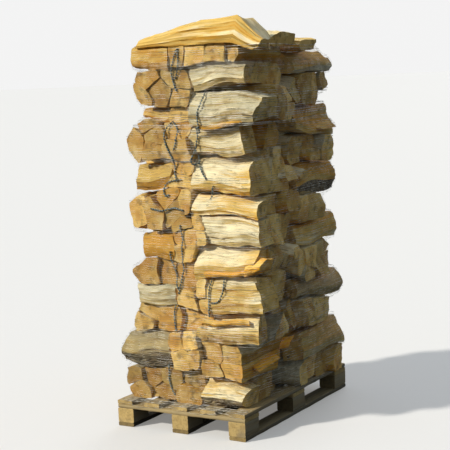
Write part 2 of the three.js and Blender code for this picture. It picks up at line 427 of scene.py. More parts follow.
def bark_finish():
    finish = Finish("bark", 0.9)
    wood = finish.attribute("wood")
    _, light, _ = finish.parts(finish.attribute("tone"))
    cracks = finish.node(
        "ShaderNodeTexVoronoi",
        {"feature": "DISTANCE_TO_EDGE"},
        {"Vector": finish.stretch(wood, (60, 14, 60)), "Scale": 1.0},
    )
    flakes = finish.noise(finish.stretch(wood, (45, 16, 45)), 1.0, 5.0, 0.6)
    lichen = finish.noise(wood, 9.0, 3.0)
    colour = finish.mix(flakes.step(0.35, 0.65), paint("6A563A"), paint("917F5C"))
    colour = finish.mix(lichen.step(0.5, 0.66) * 0.4, colour, paint("84826A"))
    colour = finish.mix(cracks.step(0.08, 0.0) * 0.55, colour, paint("3A2C1B"))
    colour = finish.mix(1.0, colour, finish.shade(light), "MULTIPLY")
    return finish.done(colour, finish.bump(cracks.step(0.0, 0.25) + flakes * 0.6, 0.006, 0.9))


LOG_FINISHES = [split_face_finish(), sawn_end_finish(), bark_finish()]
SPLIT, END, BARK = 0, 1, 2

# The logs whose long side is seen have a kind each: an outline of corners, seen on the sawn end: across, up,
# how far the edge to the next corner bulges, what covers that edge, and into how many strips it is cut. Then
# the place of the pith.
KINDS = {
    "nose": (
        [(-0.42, -0.5, 0.0, SPLIT, 5), (0.5, -0.5, 0.0, SPLIT, 4), (0.5, 0.44, 0.0, SPLIT, 5),
         (0.0, 0.5, 0.0, SPLIT, 2), (-0.14, 0.44, 0.03, SPLIT, 8), (-0.5, -0.12, 0.02, SPLIT, 6)],
        (0.6, 0.9),
    ),
    "low_nose": (
        [(-0.42, -0.5, 0.0, SPLIT, 5), (0.5, -0.5, 0.0, SPLIT, 4), (0.5, 0.5, 0.0, SPLIT, 5),
         (-0.1, 0.5, 0.03, SPLIT, 4), (-0.38, 0.3, 0.02, SPLIT, 8), (-0.5, -0.24, 0.0, SPLIT, 5)],
        (0.4, -0.9),
    ),
    "flat": (
        [(-0.46, -0.5, 0.0, SPLIT, 5), (0.5, -0.5, 0.0, SPLIT, 4), (0.5, 0.46, 0.0, SPLIT, 5),
         (-0.3, 0.5, 0.02, SPLIT, 3), (-0.42, 0.36, 0.015, SPLIT, 9), (-0.5, -0.2, 0.0, SPLIT, 5)],
        (1.4, -0.2),
    ),
    "big_nose": (
        [(-0.36, -0.5, 0.0, SPLIT, 4), (0.5, -0.5, 0.0, SPLIT, 3), (0.5, 0.4, 0.0, SPLIT, 3),
         (0.1, 0.5, 0.0, SPLIT, 4), (-0.26, 0.16, 0.03, SPLIT, 7), (-0.46, -0.14, 0.0, SPLIT, 3),
         (-0.5, -0.28, 0.02, SPLIT, 5)],
        (0.5, 0.4),
    ),
    "bark_foot": (
        [(-0.34, -0.5, 0.0, SPLIT, 5), (0.5, -0.5, 0.0, SPLIT, 4), (0.5, 0.46, 0.0, SPLIT, 5),
         (0.0, 0.5, 0.02, SPLIT, 4), (-0.3, 0.28, 0.02, SPLIT, 8), (-0.5, -0.12, 0.05, BARK, 6)],
        (0.5, 0.3),
    ),
}


def log_outline(edges):
    places, covers = [], []
    for i, (x, z, bulge, cover, strips) in enumerate(edges):
        next_x, next_z = edges[(i + 1) % len(edges)][:2]
        for strip in range(strips):
            t = strip / strips
            out = bulge * (4 * t * (1 - t)) ** 0.75
            run_x, run_z = next_x - x, next_z - z
            places.append((x + run_x * t + run_z * out, z + run_z * t - run_x * out))
            covers.append(cover)
    return np.array(places), covers


LOG_RINGS = 20


def rough_billet(strips):
    """A round billet 1 m long and 1 m in radius along Y, its side cut in rings and strips."""
    nothing_selected()
    bpy.ops.mesh.primitive_cylinder_add(
        vertices=strips, radius=1, depth=1, end_fill_type="TRIFAN", rotation=(math.pi / 2, 0, 0)
    )
    bpy.ops.object.transform_apply(location=True, rotation=True, scale=True)
    log = bpy.context.object
    pick_edges(log, lambda a, b: abs(a.y - b.y) > 0.9)
    bpy.ops.mesh.subdivide(number_cuts=LOG_RINGS)
    bpy.ops.object.mode_set(mode="OBJECT")
    mesh = log.data
    places = points_of(mesh)
    start = math.atan2(places[0, 2], places[0, 0])
    angles = np.arctan2(places[:, 2], places[:, 0]) - start
    column = np.round(angles / (2 * math.pi / strips)).astype(int) % strips
    centre = np.hypot(places[:, 0], places[:, 2]) < 0.1
    column[centre] = -1
    return log, column


def splinters(places, column, strips, count, dice):
    """How much of the radius is left where a splinter or two has been torn off along the grain."""
    left = np.ones(len(places))
    for _ in range(count):
        first, width = dice.randrange(strips), dice.randint(2, strips // 5)
        torn_from, side = dice.uniform(-0.4, 0.3), dice.choice((-1, 1))
        torn = (column - first) % strips < width
        left *= 1 - np.clip((places[:, 1] * side - torn_from) / 0.3, 0, 1) * dice.uniform(0.06, 0.15) * torn
    return left


def finish_log(log, ends, covering):
    """Saws the ends flat again and gives the faces their finishes. The result is what a copy needs."""
    mesh = log.data
    places = points_of(mesh)
    places[ends, 1] = np.where(places[ends, 1] > 0, 0.5, -0.5)
    move_points(mesh, places)
    for finish in LOG_FINISHES:
        mesh.materials.append(finish)
    mesh.polygons.foreach_set("material_index", covering)
    bpy.ops.object.shade_smooth_by_angle(angle=math.radians(26))
    return {"log": log, "mesh": mesh, "unit": points_of(mesh), "covering": np.array(covering)}


def faced_log(name, dice):
    """A log 1 m long and 1 m across with its kind's outline, to be squeezed into its place later."""
    edges, pith = KINDS[name]
    outline, covers = log_outline(edges)
    strips = len(outline)
    log, column = rough_billet(strips)
    mesh = log.data
    places = points_of(mesh)
    left = splinters(places, column, strips, 3, dice)
    pressed = outline[column] * left[:, None]
    pressed[column < 0] = outline.mean(axis=0)
    places[:, 0], places[:, 2] = pressed.T
    mesh.vertices.foreach_set("co", places.ravel())
    ends = np.abs(places[:, 1]) > 0.499
    place = [dice.uniform(-9, 9) for _ in range(3)]
    roughen(log, 0.45, 0.15, (1, 1.4, 1), place)
    roughen(log, 0.14, 0.1, (1, 4, 1), place)
    covering = []
    for face in mesh.polygons:
        around = {int(column[v]) for v in face.vertices}
        if -1 in around:
            covering.append(END)
        elif around == {0, strips - 1}:
            covering.append(covers[-1])
        else:
            covering.append(covers[min(around)])
    version = finish_log(log, ends, covering)
    version["pith"] = pith
    return version


def packed_log(dice):
    """A log that lies among others: a rough billet, to be pressed to the outline that they leave it."""
    log, column = rough_billet(PACKED_STRIPS)
    mesh = log.data
    places = points_of(mesh)
    left = splinters(places, column, PACKED_STRIPS, 2, dice)
    places[:, [0, 2]] *= left[:, None]
    mesh.vertices.foreach_set("co", places.ravel())
    ends = np.abs(places[:, 1]) > 0.499
    place = [dice.uniform(-9, 9) for _ in range(3)]
    roughen(log, 0.7, 0.16, (1, 1, 1), place)
    roughen(log, 0.22, 0.08, (1, 1.6, 1), place)
    covering = [END if min(column[list(face.vertices)]) < 0 else SPLIT for face in mesh.polygons]
    version = finish_log(log, ends, covering)
    version["column"] = column
    return version


VERSIONS = 3
PACKED_STRIPS = 38
PACKED_VERSIONS = 12
kind_dice = random.Random(21)
faced_logs = {name: [faced_log(name, kind_dice) for _ in range(VERSIONS)] for name in KINDS}
packed_logs = [packed_log(kind_dice) for _ in range(PACKED_VERSIONS)]
for version in packed_logs + sum(faced_logs.values(), []):
    bpy.data.objects.remove(version.pop("log"))

# ---------------------------------------------------------------- split logs, the courses
# The logs lie side by side in courses, crosswise from one course to the next, with nothing but their own
# weight and the net to hold them. Every course is one joined piece of its separate logs.


def settle(places):
    """Courses sag and ride up on each other: a slow wave through the whole pile, none at the deck and top."""
    x, y, z = places.T
    wave = 0.013 * np.sin(8 * x + 5 * y + 7 * z + 0.7) + 0.008 * np.sin(21 * x - 13 * y + 11 * z)
    shift = 0.012 * np.sin(17 * z + 6 * y) + 0.008 * np.sin(31 * z + 2.0 - 9 * x)
    fade = np.clip((z - 0.15) / 0.14, 0, 1) * np.clip((2.05 - z) / 0.16, 0, 1)
    return np.stack([x + shift * fade, y, z + wave * fade], axis=1)


def place_log(source, section, slant, start, end, axis, pith, covering, tone):
    """A copy of a log at its place: section holds each point across and up, and its own length runs from
    start to end."""
    mesh = source["mesh"].copy()
    unit = source["unit"]
    t = unit[:, 1] + 0.5
    if axis == "Y":
        placed = np.stack([section[:, 0], start + (end - start) * t + slant, section[:, 1]], axis=1)
    else:
        placed = np.stack([end - (end - start) * t + slant, section[:, 0], section[:, 1]], axis=1)
    move_points(mesh, settle(placed))
    chance = course_dice.random()
    run = unit[:, 1] * (end - start) + 20 * chance
    wood = np.stack([section[:, 0] - pith[0], run, section[:, 1] - pith[1]], axis=1)
    give_attribute(mesh, "wood", "POINT", wood)
    mesh.polygons.foreach_set("material_index", covering)
    warmth, light, grey = tone
    # Split faces that look sideways or down get more warmth, which paints them a deeper, darker orange than
    # faces that look up. This is painted shade on the lower facets, laid over the wood's own orange.
    under = np.clip(0.3 - normals_of(mesh)[:, 2], 0, 1)
    values = np.zeros((len(under), 3))
    values[:, 0] = warmth + under * 0.9 * (covering == SPLIT)
    values[:, 1] = light
    values[:, 2] = grey
    give_attribute(mesh, "tone", "FACE", values)
    log = bpy.data.objects.new("log", mesh)
    bpy.context.collection.objects.link(log)
    return log


def lay_faced_log(kind, near, far, start, end, axis, flip, tone):
    """Squeezes a kind of log into a place given by its four corners at its two ends, each as (across, up),
    from the low corner round by the upright high side."""
    source = faced_logs[kind][course_dice.randrange(VERSIONS)]
    unit = source["unit"].astype(float) * ([-1, 1, 1] if flip else [1, 1, 1]) + 0.5
    u, t, v = unit.T
    near, far = np.array(near, dtype=float), np.array(far, dtype=float)
    weights = np.stack([(1 - u) * (1 - v), u * (1 - v), u * v, (1 - u) * v], axis=1)
    section = (weights @ near) * (1 - t)[:, None] + (weights @ far) * t[:, None]
    slant = (u - 0.5) * course_dice.uniform(-0.03, 0.03) + (v - 0.5) * course_dice.uniform(-0.03, 0.03)
    pith = near.mean(axis=0) + np.ptp(near, axis=0) * source["pith"]
    log = place_log(source, section, slant, start, end, axis, pith, source["covering"], tone)
    if flip:
        log.data.flip_normals()
    return log


ROUNDING = 1.34


def reach_of(corners, centre, turns):
    """How far an outline of straight edges reaches from its centre in each direction."""
    edges = np.roll(corners, -1, axis=0) - corners
    outward = np.stack([edges[:, 1], -edges[:, 0]], axis=1)
    room = np.sum(outward * (corners - centre), axis=1)
    toward = np.stack([np.cos(turns), np.sin(turns)], axis=1) @ outward.T
    with np.errstate(divide="ignore", invalid="ignore"):
        reach = np.where(toward > 1e-9, room / toward, np.inf)
    reach = reach.min(axis=1)
    return np.minimum(reach, reach.mean() * ROUNDING)


def lay_packed_log(near, far, start, end, axis, tone, bark):
    """Presses a log to the outlines of its place at its two ends, with bark on one of its sides or none."""
    version = packed_logs[course_dice.randrange(PACKED_VERSIONS)]
    column, unit = version["column"], version["unit"]
    middle_near, middle_far = near.mean(axis=0), far.mean(axis=0)
    turns = np.arange(PACKED_STRIPS) * 2 * math.pi / PACKED_STRIPS
    corner_turns = np.arctan2(*(near - middle_near).T[::-1]) % (2 * math.pi)
    for turn in corner_turns:
        turns[int(round(turn / (2 * math.pi) * PACKED_STRIPS)) % PACKED_STRIPS] = turn
    first = reach_of(near, middle_near, turns)
    last = reach_of(far, middle_far, turns)
    spin = course_dice.randrange(PACKED_STRIPS)
    places = (column + spin) % PACKED_STRIPS
    radius = np.hypot(unit[:, 0], unit[:, 2]) * course_dice.uniform(0.955, 1.005)
    radius[column < 0] = 0
    toward = np.stack([np.cos(turns[places]), np.sin(turns[places])], axis=1)
    t = (unit[:, 1] + 0.5)[:, None]
    section = (middle_near + toward * (first[places] * radius)[:, None]) * (1 - t)
    section += (middle_far + toward * (last[places] * radius)[:, None]) * t
    slant = (section - section.mean(axis=0)) @ np.array([course_dice.uniform(-0.12, 0.12) for _ in range(2)])
    covering = version["covering"].copy()
    if bark:
        low_turn, high_turn = sorted(corner_turns)[:2]
        where = (turns[places] >= low_turn - 0.01) & (turns[places] <= high_turn + 0.01)
        for i, face in enumerate(version["mesh"].polygons):
            if covering[i] == SPLIT and all(where[v] for v in face.vertices):
                covering[i] = BARK
    pith = middle_near + np.array([course_dice.uniform(-0.07, 0.07) for _ in range(2)])
    return place_log(version, section, slant, start, end, axis, pith, covering, tone)


def join_logs(logs, name, node):
    course = joined(logs)
    roughen(course, 0.045, 0.012, (1, 1, 1), [course_dice.uniform(-9, 9) for _ in range(3)])
    course.name = name
    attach(course, "root")
    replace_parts(course, node)
    return course


LOG_AREA = 0.0135  # of a middling log's section
SITE_TRIES = 9
BARK_SHARE = 0.07
GREY_SHARE = 0.2


def cut_off(corners, point, away):
    """The part of an outline on this side of a straight cut through a point."""
    kept = []
    for i in range(len(corners)):
        a, b = corners[i], corners[(i + 1) % len(corners)]
        side_a, side_b = np.dot(a - point, away), np.dot(b - point, away)
        if side_a <= 0:
            kept.append(a)
        if side_a * side_b < 0:
            kept.append(a + (b - a) * side_a / (side_a - side_b))
    return np.array(kept)


def shares_of(region, sites):
    """Shares a region out between sites, each getting what lies nearest to it."""
    shares = []
    for i, site in enumerate(sites):
        share = region
        for j, other in enumerate(sites):
            if i != j and len(share) > 2:
                share = cut_off(share, (site + other) / 2, other - site)
        shares.append(share)
    return shares


def pack_logs(
    low, high, axis, free=(0, 0), warm=(0.1, 0.8), pale=(-0.35, 0.3),
    back=(0.03, 0.02), area=LOG_AREA, cuts=None,
):
    """Logs of many sections packed tightly in a box. free says how far the outer logs round off at the box's
    low and high side, 1 where it is open, warm and pale the ranges of their warmth and light, and back how
    far the ends may stay behind at the two ends. cuts gives how much is missing across and up at the bottom
    and at the top corner of the low side."""
    dice = course_dice
    across, along = (0, 1) if axis == "Y" else (1, 0)
    left, right, floor, crown = low[across], high[across], low[2], high[2]
    rise = crown - floor
    region = []
    for (x, z), open_side in (((left, floor), free[0]), ((right, floor), free[1]),
                              ((right, crown), free[1]), ((left, crown), free[0])):
        inward = 1 if x == left else -1
        upward = 1 if z == floor else -1
        if cuts and x == left:
            missing_across, missing_up = cuts[0 if z == floor else 1]
            first, second = (x + missing_across, z), (x, z + upward * missing_up)
            region += [second, first] if inward * upward > 0 else [first, second]
        elif open_side:
            first = (x + inward * dice.uniform(0.14, 0.4) * min(rise, 0.2) * open_side, z)
            second = (x, z + upward * dice.uniform(0.15, 0.4) * rise * open_side)
            region += [second, first] if inward * upward > 0 else [first, second]
        else:
            region.append((x, z))
    region = np.array(region)
    count = max(1, round((right - left) * rise / area))
    sites = []
    for _ in range(count):
        tries = [np.array([dice.uniform(left, right), dice.uniform(floor, crown)]) for _ in range(SITE_TRIES)]
        if sites:
            tries.sort(key=lambda spot: -min(np.hypot(*(spot - site)) for site in sites))
        sites.append(tries[0])
    sites = [share.mean(axis=0) for share in shares_of(region, sites)]
    near = shares_of(region, sites)
    moved = [site + [dice.uniform(-0.01, 0.01), dice.uniform(-0.007, 0.007)] for site in sites]
    far = shares_of(region, moved)
    logs = []
    for i in range(count):
        warmth, light = dice.uniform(*warm), dice.uniform(*pale)
        grey = dice.uniform(0.3, 0.9) if dice.random() < GREY_SHARE else 0.0
        lows, highs = (reach * dice.random() ** 1.4 for reach in back)
        if i == 0:
            lows = highs = 0.0
        bark = dice.random() < BARK_SHARE
        start, end = low[along] + lows, high[along] - highs
        logs.append(lay_packed_log(near[i], far[i], start, end, axis, (warmth, light, grey), bark))
    return logs


def front_log(kind, low, high, axis, tip, tone, flip=False):
    """A log whose long side is seen, in a box. tip says which end is free, and how much of the height is
    missing there below and above; the other end is a little lower than the box."""
    across, along = (0, 1) if axis == "Y" else (1, 0)
    floor, rise = low[2], high[2] - low[2]
    places = []
    for cut_low, cut_high, inset in ((tip[1], tip[2], course_dice.uniform(0, 0.02)),
                                     (course_dice.uniform(0, 0.02), course_dice.uniform(0, 0.02), 0.002)):
        bottom, top = floor + cut_low * rise, floor + (1 - cut_high) * rise
        left, right = low[across] + inset, high[across]
        places.append([(left, bottom), (right, bottom), (right, top), (left, top)])
    free, inner = places
    near, far = (free, inner) if tip[0] == "high" else (inner, free)
    return lay_faced_log(kind, near, far, low[along], high[along], axis, flip, tone)


# How each course of the front stacks is laid: which way its logs run, how wide its inner end is that has logs
# running the other way, and how far it stays behind the front. A course along X goes on with the log whose
# long side faces the front: its kind, how thick it is from front to back, how much is missing at its free end
# below and above, and its warmth, light and greyness. A course along Y on the left goes on with how much is
# missing, across and up, at the bottom and at the top corner of its left side.
FRONT_LEFT = [
    ("Y", 0.0, 0.02, ((0.04, 0.07), (0.055, 0.03))),
    ("X", 0.17, 0.0, ("bark_foot", 0.15, 0.1, 0.05, 0.5, -0.9, 0.7)),
    ("Y", 0.0, 0.02, ((0.01, 0.03), (0.05, 0.09))),
    ("X", 0.12, 0.0, ("flat", 0.12, 0.0, 0.1, 0.1, -0.5, 0.8)),
    ("Y", 0.0, 0.01, ((0.035, 0.06), (0.07, 0.07))),
    ("X", 0.15, 0.0, ("nose", 0.14, 0.0, 0.15, 0.9, -0.6, 0.0)),
    ("Y", 0.0, 0.0, ((0.01, 0.02), (0.055, 0.07))),
    ("X", 0.15, 0.02, ("nose", 0.15, 0.05, 0.15, 0.6, -0.7, 0.0)),
    ("Y", 0.0, 0.0, ((0.06, 0.07), (0.12, 0.09))),
    ("X", 0.14, 0.04, ("low_nose", 0.12, 0.0, 0.3, 0.9, -0.4, 0.0)),
    ("Y", 0.0, 0.0, ((0.03, 0.03), (0.045, 0.11))),
    ("X", 0.0, 0.0, ("low_nose", 0.16, 0.1, 0.0, 0.8, -0.6, 0.0)),
]
FRONT_RIGHT = [
    ("X", 0.0, 0.0, ("bark_foot", 0.18, 0.0, 0.3, 0.2, 0.0, 0.0)),
    ("Y", 0.0, 0.02, None),
    ("X", 0.06, 0.01, ("nose", 0.15, 0.05, 0.05, 0.3, 0.2, 0.2)),
    ("X", 0.06, 0.01, ("flat", 0.16, 0.05, 0.05, 0.3, 0.1, 0.2)),
    ("X", 0.0, 0.0, ("nose", 0.14, 0.05, 0.05, 0.25, 0.2, 0.0)),
    ("X", 0.06, 0.0, ("flat", 0.19, 0.0, 0.05, 0.0, 0.3, 0.5)),
    ("X", 0.0, 0.0, ("low_nose", 0.13, 0.05, 0.05, 0.2, 0.3, 0.0)),
    ("X", 0.0, 0.0, ("low_nose", 0.22, 0.1, 0.1, 0.2, 0.15, 0.0)),
    ("X", 0.0, 0.03, ("flat", 0.12, 0.1, 0.05, 0.1, 0.2, 0.4)),
    ("X", 0.0, 0.0, ("flat", 0.24, 0.05, 0.3, 0.0, 0.1, 0.6)),
    ("X", 0.0, 0.02, ("low_nose", 0.12, 0.1, 0.05, 0.0, 0.1, 0.6)),
    ("Y", 0.0, 0.015, None),
]
# Thin splinters and small billets pushed in between the big ones: the low and high corner of each, measured
# from the pallet's front left corner, its course, which way it runs, its warmth and its light. The lights of
# 0.8 and more paint sunlit billets into the shade on the right: painted light.
SMALL_LOGS = [
    ((0.56, 0.056, 0.842), (0.85, 0.11, 0.880), "logs_front_right_05", "X", 1.0, 0.2),
    # Painted light: a billet in the shade, lightened as if sunlit.
    ((0.81, 0.06, 0.84), (0.902, 0.15, 0.93), "logs_front_right_05", "X", 0.8, 0.8),
    ((0.52, 0.056, 0.592), (0.80, 0.10, 0.625), "logs_front_right_03", "X", 0.7, 0.2),
    ((0.55, 0.056, 1.62), (0.82, 0.10, 1.655), "logs_front_right_09", "X", 0.9, 0.0),
    # Painted light: an orange strip in the shade, lightened as if sunlit.
    ((0.73, 0.20, 0.338), (0.785, 0.45, 0.368), "logs_front_right_02", "Y", 1.2, 2.2),
    # Painted light: an orange end in the shade, lightened as if sunlit.
    ((0.70, 0.50, 0.38), (0.80, 0.56, 0.435), "logs_front_right_02", "X", 1.2, 3.5),
    ((0.05, 0.10, 0.146), (0.21, 0.50, 0.19), "logs_front_left_01", "Y", 0.5, -0.8),
    ((0.72, 0.36, 1.30), (0.862, 0.53, 1.395), "logs_front_right_08", "X", 0.3, 0.2),
    ((0.74, 0.42, 0.88), (0.868, 0.53, 0.97), "logs_front_right_05", "X", 0.1, 0.4),
    ((0.70, 0.86, 1.56), (0.862, 1.02, 1.615), "logs_rear_10", "X", 0.7, 0.6),
    ((0.70, 0.60, 1.28), (0.85, 0.70, 1.36), "logs_rear_08", "X", 0.2, 0.4),
]
pallet_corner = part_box("pallet_deck_board_1")[0]


def small_logs(node):
    logs = []
    for small_low, small_high, course, way, warmth, light in SMALL_LOGS:
        if course == node:
            corner = Vector((pallet_corner.x, pallet_corner.y, 0))
            tip = ("high", course_dice.uniform(0, 0.3), course_dice.uniform(0, 0.3))
            place = (corner + Vector(small_low), corner + Vector(small_high))
            logs.append(front_log("nose", *place, way, tip, (warmth, light, 0.0), way == "Y"))
    return logs


# Ranges of warmth or light that a group of logs is drawn from, how far an inner side rounds off, and the
# areas of big, small and thin logs' sections.
SHADY = (-0.3, 0.6)
LIVELY = (-0.5, 1.0)
# The light of the lowest course: painted shade at the foot of the stacks.
BOTTOM_COURSE_SHADE = (-1.7, -0.8)
SUNNY = (-0.1, 0.7)
INNER = 0.25
BIG, SMALL, THIN = 0.017, 0.009, 0.006
REAR_GAP = 0.02  # from the front stacks to the rear stack
OVERLAP = 0.025  # of a course and the inner end that lies beside it


def front_course(number, low, high, left_stack):
    """A course of a front stack, laid as its row of FRONT_LEFT or FRONT_RIGHT says."""
    axis, inner, behind, face = (FRONT_LEFT if left_stack else FRONT_RIGHT)[number - 1]
    back = (0.03, 0.01) if left_stack else (0.01, 0.13)
    own_low, own_high = low.copy(), high.copy()
    own_low.y += behind
    own_high.y -= REAR_GAP
    logs = []
    free = (INNER, INNER)
    if inner and left_stack:
        own_high.x -= inner
        logs += pack_logs((own_high.x, own_low.y, low.z), high, "Y", free, (0, 0.6), SUNNY, area=SMALL)
    elif inner:
        inner_low, inner_high = (low.x, own_low.y, low.z), (low.x + inner, high.y, high.z)
        logs += pack_logs(inner_low, inner_high, "Y", free, (0, 0.6), SUNNY, area=THIN)
        own_low.x += inner - OVERLAP
    if axis == "X":
        kind, depth, cut_low, cut_high, *tone = face
        front_high = Vector((own_high.x, own_low.y + depth, own_high.z))
        tip = ("low" if left_stack else "high", cut_low, cut_high)
        logs.append(front_log(kind, own_low, front_high, axis, tip, tone))
        own_low.y += depth * 0.9
        warm = (0.1, 0.7) if left_stack else SHADY
        # The lowest course is painted darker: painted shade.
        pale = BOTTOM_COURSE_SHADE if number == 1 else LIVELY
        return logs + pack_logs(own_low, own_high, axis, (0, 1), warm, pale, back, BIG)
    if left_stack:
        # The lowest course is painted darker: painted shade.
        pale = BOTTOM_COURSE_SHADE if number == 1 else (-0.8, 0.2)
        return logs + pack_logs(own_low, own_high, axis, (0, INNER), (0.25, 0.9), pale, cuts=face)
    return logs + pack_logs(own_low, own_high, axis, (INNER, 1), pale=(-0.7, 0.5), back=(0.02, 0.02))


FRONT_GAP = 0.025  # from the rear stack to the front stacks
SIDE_LOG = 0.13  # width of the log on the right side of a course along Y
REAR_KINDS = ("flat", "nose", "low_nose", "bark_foot", "nose", "big_nose")


def rear_course(number, low, high):
    """A course of the rear stack. The logs run along X in the odd courses, and along Y in the even ones, with
    a log of a kind on the right side."""
    middle = (low.x + high.x) / 2 + course_dice.uniform(-0.03, 0.03)
    low.y += FRONT_GAP
    if number % 2:
        logs = pack_logs(low, (middle, high.y, high.z), "X", (1, 1), SHADY, back=(0.05, 0.01))
        return logs + pack_logs((middle, low.y, low.z), high, "X", (1, 1), SHADY, LIVELY, (0.01, 0.1), BIG)
    logs = pack_logs(low, (high.x - 0.12, high.y, high.z), "Y", (1, 0), SHADY, back=(0.01, 0.04))
    tip = ("high", course_dice.uniform(0, 0.2), course_dice.uniform(0, 0.2))
    warmth, light = course_dice.uniform(0.0, 0.5), course_dice.uniform(-0.5, 0.1)
    tone = (warmth, light, course_dice.choice((0.0, 0.3, 0.6)))
    side_low = (high.x - SIDE_LOG, low.y, low.z)
    logs.append(front_log(REAR_KINDS[number // 2 - 1], side_low, high, "Y", tip, tone, True))
    return logs


course_nodes = [name for name in node_names if name.startswith("logs_")]
course_objects = []
for node in course_nodes:
    number = int(node[-2:])
    course_dice = random.Random(100 * number + len(node))
    low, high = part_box(node)
    if "rear" in node:
        logs = rear_course(number, low, high)
    else:
        logs = front_course(number, low, high, "left" in node)
    logs += small_logs(node)
    course_objects.append(join_logs(logs, "split_" + node, node))

# ---------------------------------------------------------------- loose logs on top
# The last logs were thrown on: a crooked one over the front edge, one behind it and one at the back. They
# are pale split wood like the rest, and lie loose on the highest courses.

# Each has its kind and its underside and upper side as shares of its length and height, from left to right.
TOP_LOGS = {
    "top_log_crooked": (
        "flat",
        [(0, 0.26), (0.84, 0.26), (0.88, 0.1), (0.97, 0.0), (1, 0.1)],
        [(0, 0.48), (0.2, 0.66), (0.34, 0.84), (0.52, 0.93), (0.74, 0.94), (0.845, 1.0), (0.9, 0.74),
         (0.97, 0.5), (1, 0.3)],
    ),
    "top_log_second": (
        "nose",
        [(0, 0.42), (0.66, 0.42), (0.72, 0.05), (1, 0.0)],
        [(0, 0.95), (0.6, 1), (1, 0.85)],
    ),
    "top_log_back": ("low_nose", [(0, 0), (1, 0)], [(0, 0.8), (0.45, 1), (1, 0.75)]),
}
TOP_TONE = (0.35, 0.0, 0.0)
TOP_TURN = 0.03  # how much further back than its right end a log's left end lies
top_objects = []
for node, (kind, underside, upperside) in TOP_LOGS.items():
    course_dice = random.Random(len(node))
    low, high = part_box(node)
    corners = [(low.y, low.z), (high.y, low.z), (high.y, high.z), (low.y, high.z)]
    log = lay_faced_log(kind, corners, corners, low.x, high.x, "X", False, TOP_TONE)
    places = points_of(log.data)
    share = (places[:, 0] - low.x) / (high.x - low.x)
    under = np.interp(share, *zip(*underside))
    upper = np.interp(share, *zip(*upperside))
    level = (places[:, 2] - low.z) / (high.z - low.z)
    places[:, 2] = low.z + (under + level * (upper - under)) * (high.z - low.z)
    places[:, 1] += TOP_TURN * (1 - share)
    move_points(log.data, places)
    loose_log = join_logs([log], "loose_" + node, node)
    roughen(loose_log, 0.1, 0.03, (1.6, 1, 1), [course_dice.uniform(-9, 9) for _ in range(3)])
    top_objects.append(loose_log)

# ---------------------------------------------------------------- net wrap
# A knitted net of pale polyethylene yarn, stretched round the wood from the deck to the top. Its chains
# run level and lie on the logs that stick out most, and a thin thread zigzags from each chain to the next.


def yarn_finish(name, first, second, length):
    """Yarn in two colours, which take turns over about that length."""
    finish = Finish(name, 0.55)
    place = finish.node("ShaderNodeTexCoord", {}, {}, "Object")
    twist = finish.noise(place, 1 / length, 2.0)
    colour = finish.mix(twist.step(0.4, 0.6), paint(first), paint(second))
    return finish.done(colour, finish.bump(twist, 0.0006, 0.5))


NET_YARN = yarn_finish("net_yarn", "66604F", "E4E0D2", 0.05)
NET_PITCH = 0.0125
NET_LOW, NET_HIGH = 0.155, 2.03
NET_BANDS = ((0.49, 0.58), (1.44, 1.5), (1.62, 1.79), (1.9, 1.96))  # where it has drawn together
NET_REACH = 0.018  # how far above and below itself a chain is held off by the wood
NET_CLEAR = 0.0015
NET_THINNEST = 0.45  # share of a chain's thickness where the net is stretched most, on the left
NET_GATHERED = (0.6, 0.8, 1.1, 1.5, 2.1)
STRAND_STEPS = 84
wood_points = np.concatenate([points_of(piece.data) for piece in course_objects + top_objects])
NET_MIDDLE = np.array([0.06, -0.02])


def hull(points):
    """The outline that a tight string takes round the points, anticlockwise."""
    order = points[np.lexsort((points[:, 1], points[:, 0]))]

    def half(run):
        chain = []
        for p in run:
            while len(chain) > 1:
                a, b = chain[-2], chain[-1]
                if (b[0] - a[0]) * (p[1] - a[1]) - (b[1] - a[1]) * (p[0] - a[0]) > 0:
                    break
                chain.pop()
            chain.append(p)
        return chain[:-1]

    return np.array(half(order) + half(order[::-1]))


def net_ring(level):
    """The net's outline at one height, at even steps of turn round the middle."""
    near = wood_points[np.abs(wood_points[:, 2] - level) < NET_REACH][:, :2]
    outline = hull(near)
    spots = []
    for i in range(len(outline)):
        a, b = outline[i], outline[(i + 1) % len(outline)]
        pieces = max(1, int(np.hypot(*(b - a)) / 0.012))
        spots += [a + (b - a) * k / pieces for k in range(pieces)]
    spots = np.array(spots)
    away = spots - NET_MIDDLE
    reach = np.hypot(away[:, 0], away[:, 1])
    spots = NET_MIDDLE + away * ((reach + NET_CLEAR) / reach)[:, None]
    steps = np.hypot(*(np.roll(spots, -1, axis=0) - spots).T)
    run = np.concatenate([[0], np.cumsum(steps)])
    first = int(np.argmin(spots @ np.array([1.0, 1.0])))
    places = (run[first] + run[-1] * np.arange(STRAND_STEPS) / STRAND_STEPS) % run[-1]
    closed = np.vstack([spots, spots[:1]])
    return np.stack([np.interp(places, run, closed[:, k]) for k in (0, 1)], axis=1)


def yarn_curve(name, thickness):
    curve = bpy.data.curves.new(name, "CURVE")
    curve.dimensions = "3D"
    curve.bevel_depth = thickness / 2
    curve.bevel_resolution = 0
    curve.use_fill_caps = True
    return curve


def add_thread(curve, points, closed, radii=None):
    thread = curve.splines.new("POLY")
    thread.points.add(len(points) - 1)
    thread.points.foreach_set("co", np.column_stack([points, np.ones(len(points))]).ravel())
    if radii is not None:
        thread.points.foreach_set("radius", radii)
    thread.use_cyclic_u = closed


def knit(curve, yarn):
    """Turns a curve of threads into a mesh of its yarn, with the name of the curve."""
    piece = bpy.data.objects.new(curve.name, curve)
    bpy.context.collection.objects.link(piece)
    select_only([piece])
    bpy.ops.object.convert(target="MESH")
    piece = bpy.context.object
    piece.data.materials.clear()
    piece.data.materials.append(yarn)
    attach(piece, "root")
    return piece


